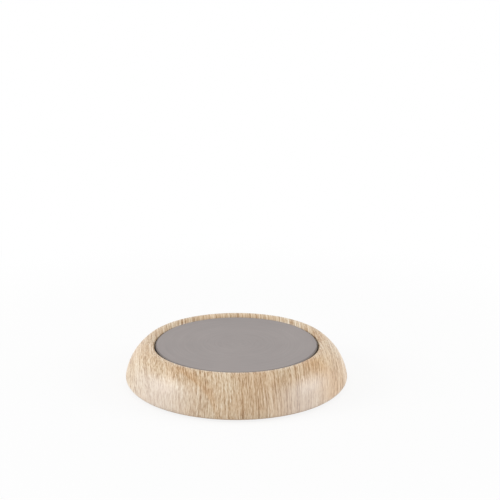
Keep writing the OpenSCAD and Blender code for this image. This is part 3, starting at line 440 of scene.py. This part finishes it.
out_mm = np.concatenate([np.repeat(out_mm, len(loop), 0), np.full((len(loop), 1), -lip_clear)], 1)
back_mm = np.concatenate([back_mm, edge_y + lip_clear], 1)
band_at = np.stack([loop_x + way_x * out_mm, back_mm, loop_z + way_z * out_mm], 2) / 1000
# The band closes on itself both ways, so a face's corners wrap round at both ends of the grid
around, across = band_at.shape[:2]
row, column = np.meshgrid(np.arange(around), np.arange(across), indexing="ij")
corner_at = [(row + i) % around * across + (column + j) % across
             for i, j in ((0, 0), (1, 0), (1, 1), (0, 1))]
lip_tool = new_piece("bay_lip_tool", band_at.reshape(-1, 3), np.stack(corner_at, 2).reshape(-1, 4))
tool_mesh = bmesh.new()
tool_mesh.from_mesh(lip_tool.data)
bmesh.ops.recalc_face_normals(tool_mesh, faces=tool_mesh.faces)
tool_mesh.to_mesh(lip_tool.data)
tool_mesh.free()

ring_sharp_deg = 30
ring = stands_for("ring_shell", merged_copy("ring_shell"), ring_finish, ring_sharp_deg)
cut = ring.modifiers.new("bay_lip", "BOOLEAN")
cut.operation, cut.solver, cut.object = "DIFFERENCE", "EXACT", lip_tool
keep_result(ring)
smooth_shaded(ring.data, ring_sharp_deg)
bpy.data.objects.remove(lip_tool)


# ---- heating plate ----
# A disc of aluminium, turned and finely brushed in circles, then matt anodised in its natural
# grey. It lies in the ring's opening on a silicone seal, held from below by three screws.

plate = Finish(bpy.data.materials.new("satin_plate"))
plate_x, plate_y, _ = plate.place()
# A hundredth under the root keeps the middle of the plate from being divided by zero
plate_from_axis = (plate_x * plate_x + plate_y * plate_y + 0.01) ** 0.5
turn_x, turn_y = plate_x / plate_from_axis, plate_y / plate_from_axis
brushed = plate.noise(plate_from_axis * 3.4, turn_x * 0.9, turn_y * 0.9, detail=3.0,
                      roughness=0.8)
mottle = plate.noise(plate_x * 1.6, plate_y * 1.6, 4.0, detail=3.0, roughness=0.6)
plate_cloud = plate.noise(plate_x * 0.05, plate_y * 0.05, 1.0)
plate_rim_shade = plate_from_axis.rises(35.7, 36.0)
plate_colour = plate.blend(brushed.rises(0.3, 0.7), srgb(174, 168, 166), srgb(184, 177, 175))
plate_colour = plate.blend(0.25 * plate_cloud, plate_colour, srgb(132, 130, 132))
# Painted shade: the plate's outer 0.3 mm turns darker grey, as if in the shade of the gap round it
plate_colour = plate.blend(0.5 * plate_rim_shade, plate_colour, srgb(112, 108, 106))
plate_finish = plate.surface(
    Base_Color=plate_colour, Metallic=1.0, Specular_Tint=srgb(160, 156, 154),
    Roughness=0.52 + 0.10 * brushed + 0.06 * mottle + 0.1 * plate_rim_shade,
    Normal=plate.bumps(brushed * 0.7 + mottle * 0.3, depth_mm=0.012, strength=0.35))


def softened(node, finish, round_mm, where=None):
    """Copy of a CAD node with its sharp edges rounded. where(x, y, z) picks edges by their middle
    in millimetres."""
    flat_rad, sharp_rad, shaded_sharp_deg = math.radians(0.6), math.radians(35), 50
    soft = merged_copy(node)
    bmesh.ops.dissolve_limit(soft, angle_limit=flat_rad, verts=soft.verts, edges=soft.edges)
    sharp = [edge for edge in soft.edges if edge.calc_face_angle() > sharp_rad]
    if where:
        sharp = [edge for edge in sharp
                 if where(*(1000 * (edge.verts[0].co + edge.verts[1].co) / 2))]
    bmesh.ops.bevel(soft, geom=sharp, offset=round_mm / 1000, offset_type="OFFSET", segments=2,
                    profile=0.5, affect="EDGES", clamp_overlap=True)
    piece = stands_for(node, soft, finish, shaded_sharp_deg)
    # The wide faces keep their own direction, and the narrow rounds between them bend
    even = piece.modifiers.new("even_faces", "WEIGHTED_NORMAL")
    even.weight, even.keep_sharp = 100, True
    keep_result(piece)


plate_rim_z = 16.0
softened("heating_plate", plate_finish, round_mm=0.15, where=lambda x, y, z: z > plate_rim_z)


# ---- plate seal ----
# A flat ring of soft dark silicone on the ledge inside the ring shell. The plate's edge rests
# on it, so it keeps spills out and the plate's heat off the plastic.


def matt_moulding(name, colour, roughness, grain_mm, depth_mm, worn=None):
    """Moulded plastic or rubber with the fine eroded grain of its mould."""
    made = Finish(bpy.data.materials.new(name))
    x, y, z = made.place()
    grain = made.noise(x / grain_mm, y / grain_mm, z / grain_mm, detail=3.0, roughness=0.6)
    cloud = made.noise(x * 0.15, y * 0.15, z * 0.15)
    paler = tuple(min(1.0, c * 1.25 + 0.004) for c in colour)
    tone = made.blend(0.5 * grain.rises(0.3, 0.7) + 0.4 * cloud, colour, worn or paler)
    return made.surface(Base_Color=tone, Roughness=roughness - 0.06 + 0.12 * grain,
                        Normal=made.bumps(grain, depth_mm, strength=0.6))


seal_finish = matt_moulding("silicone_seal", srgb(58, 58, 61),
                            roughness=0.62, grain_mm=0.35, depth_mm=0.01)
softened("plate_seal", seal_finish, round_mm=0.1)


# ---- heater and clamp plate ----
# A resistance track etched from foil on an amber film, pressed against the plate by a pad of
# glass-fibre felt and a sheet-steel clamp plate, which three pan screws pull up.


def worked_metal(name, colour, roughness, speckles_in_mm, depth_mm, stains=None):
    """Rolled, drawn or plated metal: faint mottling, fine scratches and a dull tarnish."""
    made = Finish(bpy.data.materials.new(name))
    x, y, z = made.place()
    speckle = made.noise(x * speckles_in_mm, y * speckles_in_mm, z * speckles_in_mm, detail=4.0,
                         roughness=0.65)
    rolled = made.noise(x * 6.0, y * 0.4, z * 6.0, detail=3.0, roughness=0.6)
    dull = tuple(c * 0.72 for c in colour)
    tone = made.blend(0.55 * speckle.rises(0.35, 0.7) + 0.2 * rolled, colour, stains or dull)
    return made.surface(Base_Color=tone, Metallic=1.0,
                        Roughness=roughness - 0.08 + 0.12 * speckle + 0.06 * rolled,
                        Normal=made.bumps(speckle * 0.5 + rolled * 0.5, depth_mm, strength=0.4))


def woven_fibre(name, colour, thread, lift_mm):
    """Matted or braided glass fibre: short crossing threads with dark gaps between them."""
    made = Finish(bpy.data.materials.new(name))
    x, y, z = made.place()
    lengthways = made.noise(x * 5.0, y * 0.9, z * 2.0, roughness=0.6)
    crossways = made.noise(x * 0.9, y * 5.0, z * 2.0, roughness=0.6)
    threads = lengthways.larger(crossways)
    tone = made.blend(threads.rises(0.4, 0.75), colour, thread)
    return made.surface(Base_Color=tone, Roughness=0.92,
                        Normal=made.bumps(threads, lift_mm, strength=0.8))


amber = Finish(bpy.data.materials.new("polyimide_film"))
amber_x, amber_y, _ = amber.place()
amber_cloud = amber.noise(amber_x * 0.2, amber_y * 0.2, 2.0)
amber_finish = amber.surface(
    Base_Color=amber.blend(amber_cloud, srgb(196, 112, 32), srgb(176, 92, 24)),
    Roughness=0.22 + 0.1 * amber_cloud, Coat_Weight=0.3, Coat_Roughness=0.1)
foil_finish = worked_metal("etched_foil", srgb(186, 150, 120),
                           roughness=0.36, speckles_in_mm=1.4, depth_mm=0.004)
felt_finish = woven_fibre("glass_felt", srgb(206, 202, 190), thread=srgb(236, 232, 222),
                          lift_mm=0.12)
zinc_finish = worked_metal("zinc_sheet", srgb(192, 195, 198),
                           roughness=0.34, speckles_in_mm=0.6, depth_mm=0.006,
                           stains=srgb(158, 162, 168))
screw_finish = worked_metal("screw_steel", srgb(176, 178, 182),
                            roughness=0.30, speckles_in_mm=1.6, depth_mm=0.004)
nodes["heater_film"].material_slots[0].material = amber_finish
nodes["heater_track"].material_slots[0].material = foil_finish
softened("insulation_pad", felt_finish, round_mm=0.3)
softened("clamp_plate", zinc_finish, round_mm=0.12)
softened("clamp_screws", screw_finish, round_mm=0.1)


# ---- thermostat and thermal fuse ----
# A drawn tin case with a phenolic plug that holds a fixed strip and a bimetal blade. A clip on
# two small screws holds it in a window of the clamp plate. The one-shot fuse lies in a slot of
# the pad in a varnished fibre sleeve.

case_finish = worked_metal("drawn_tinplate", srgb(200, 200, 196),
                           roughness=0.28, speckles_in_mm=0.9, depth_mm=0.004)
phenolic_finish = matt_moulding("phenolic_plug", srgb(84, 48, 34),
                                roughness=0.48, grain_mm=0.5, depth_mm=0.01,
                                worn=srgb(116, 70, 48))
brass_finish = worked_metal("contact_brass", srgb(216, 184, 116),
                            roughness=0.26, speckles_in_mm=1.2, depth_mm=0.003,
                            stains=srgb(184, 142, 82))
bimetal_finish = worked_metal("bimetal_blade", srgb(150, 146, 142),
                              roughness=0.33, speckles_in_mm=0.8, depth_mm=0.004)
sleeve_finish = woven_fibre("varnished_sleeve", srgb(176, 164, 122), thread=srgb(206, 196, 158),
                            lift_mm=0.05)

# The fuse is a glazed ceramic rod with bare tinned leads. They begin about 3.7 mm to each side
# of its middle, and the two limits are squares of that length.
fuse_middle_y, glazed_to, lead_from = 2.8, 13.9, 14.3
ceramic = Finish(bpy.data.materials.new("fuse_body"))
ceramic_x, ceramic_y, ceramic_z = ceramic.place()
from_fuse_middle = ceramic_y - fuse_middle_y
on_lead = (from_fuse_middle * from_fuse_middle).rises(glazed_to, lead_from)
glaze = ceramic.noise(ceramic_x, ceramic_y * 0.3, ceramic_z)
glaze_colour = ceramic.blend(glaze, srgb(232, 230, 222), srgb(216, 212, 200))
ceramic_finish = ceramic.surface(
    Base_Color=ceramic.blend(on_lead, glaze_colour, srgb(196, 198, 202)), Metallic=on_lead,
    Roughness=0.18 + 0.16 * glaze)

for name, finish, round_mm in [
        ("thermostat_case", case_finish, 0.25), ("thermostat_plug", phenolic_finish, 0.15),
        ("thermostat_fixed_contact", brass_finish, 0.04),
        ("thermostat_blade_terminal", brass_finish, 0.05), ("bimetal_blade", bimetal_finish, 0.04),
        ("thermostat_clip", zinc_finish, 0.08), ("clip_screws", screw_finish, 0.08),
        ("thermal_fuse", ceramic_finish, 0.1), ("fuse_sleeve", sleeve_finish, 0.1)]:
    softened(name, finish, round_mm)


# ---- base cover and feet ----
# A flat moulded cover closes the ring from below, with vent slots round a blank label field. Four
# screws hold it, each under a soft round foot that is glued into its recess.

cover_underside_z = 1.3
cover_finish = matt_moulding("cover_plastic", srgb(52, 52, 54),
                             roughness=0.55, grain_mm=0.28, depth_mm=0.03)
foot_finish = matt_moulding("foot_rubber", srgb(44, 44, 46),
                            roughness=0.78, grain_mm=0.5, depth_mm=0.02)
softened("base_cover", cover_finish, round_mm=0.2, where=lambda x, y, z: z < cover_underside_z)
softened("base_screws", screw_finish, round_mm=0.1)
for corner in ("front_right", "rear_right", "rear_left", "front_left"):
    softened("foot_" + corner, foot_finish, round_mm=0.3)


# ---- rocker switch ----
# A small snap-in switch of black nylon. Its polished rocker turns on two stub pins and pushes a
# sprung plunger along the brass contact lever.

bezel_y = 42.2
nylon_finish = matt_moulding("switch_nylon", srgb(38, 38, 40),
                             roughness=0.46, grain_mm=0.22, depth_mm=0.012)
rocker_finish = matt_moulding("rocker_plastic", srgb(30, 30, 32),
                              roughness=0.24, grain_mm=0.6, depth_mm=0.003)
acetal_finish = matt_moulding("plunger_acetal", srgb(228, 227, 222),
                              roughness=0.35, grain_mm=0.5, depth_mm=0.004)
spring_finish = worked_metal("spring_steel", srgb(184, 185, 190),
                             roughness=0.24, speckles_in_mm=2.0, depth_mm=0.002)
softened("switch_housing", nylon_finish, round_mm=0.18, where=lambda x, y, z: y > bezel_y)
softened("rocker", rocker_finish, round_mm=0.28)
softened("rocker_plunger", acetal_finish, round_mm=0.1)
nodes["plunger_spring"].material_slots[0].material = spring_finish
softened("contact_lever", brass_finish, round_mm=0.05)
softened("switch_terminal_common", brass_finish, round_mm=0.06)
softened("switch_terminal_load", brass_finish, round_mm=0.06)


# ---- power inlet ----
# A moulded low-voltage jack in a cradle of the base cover. Its collar shows through the back
# wall of the bay, with a nickel-plated centre pin deep in its hole.

collar_y = 42.0
pin_finish = worked_metal("pin_nickel", srgb(214, 210, 200),
                          roughness=0.14, speckles_in_mm=2.4, depth_mm=0.002)
softened("inlet_housing", nylon_finish, round_mm=0.2, where=lambda x, y, z: y > collar_y)
softened("inlet_centre_pin", pin_finish, round_mm=0.1)
softened("inlet_spring_contact", brass_finish, round_mm=0.05)


# ---- hook-up wires ----
# Stranded wire in soft silicone, laid by hand from lug to lug and soldered at its ends.

red_finish = matt_moulding("silicone_red", srgb(186, 40, 34),
                           roughness=0.5, grain_mm=0.8, depth_mm=0.01)
black_finish = matt_moulding("silicone_black", srgb(40, 40, 42),
                             roughness=0.5, grain_mm=0.8, depth_mm=0.01)
for name in ("inlet_to_switch", "switch_to_thermostat", "thermostat_to_fuse", "fuse_to_heater"):
    nodes["wire_" + name].material_slots[0].material = red_finish
nodes["wire_heater_to_inlet"].material_slots[0].material = black_finish
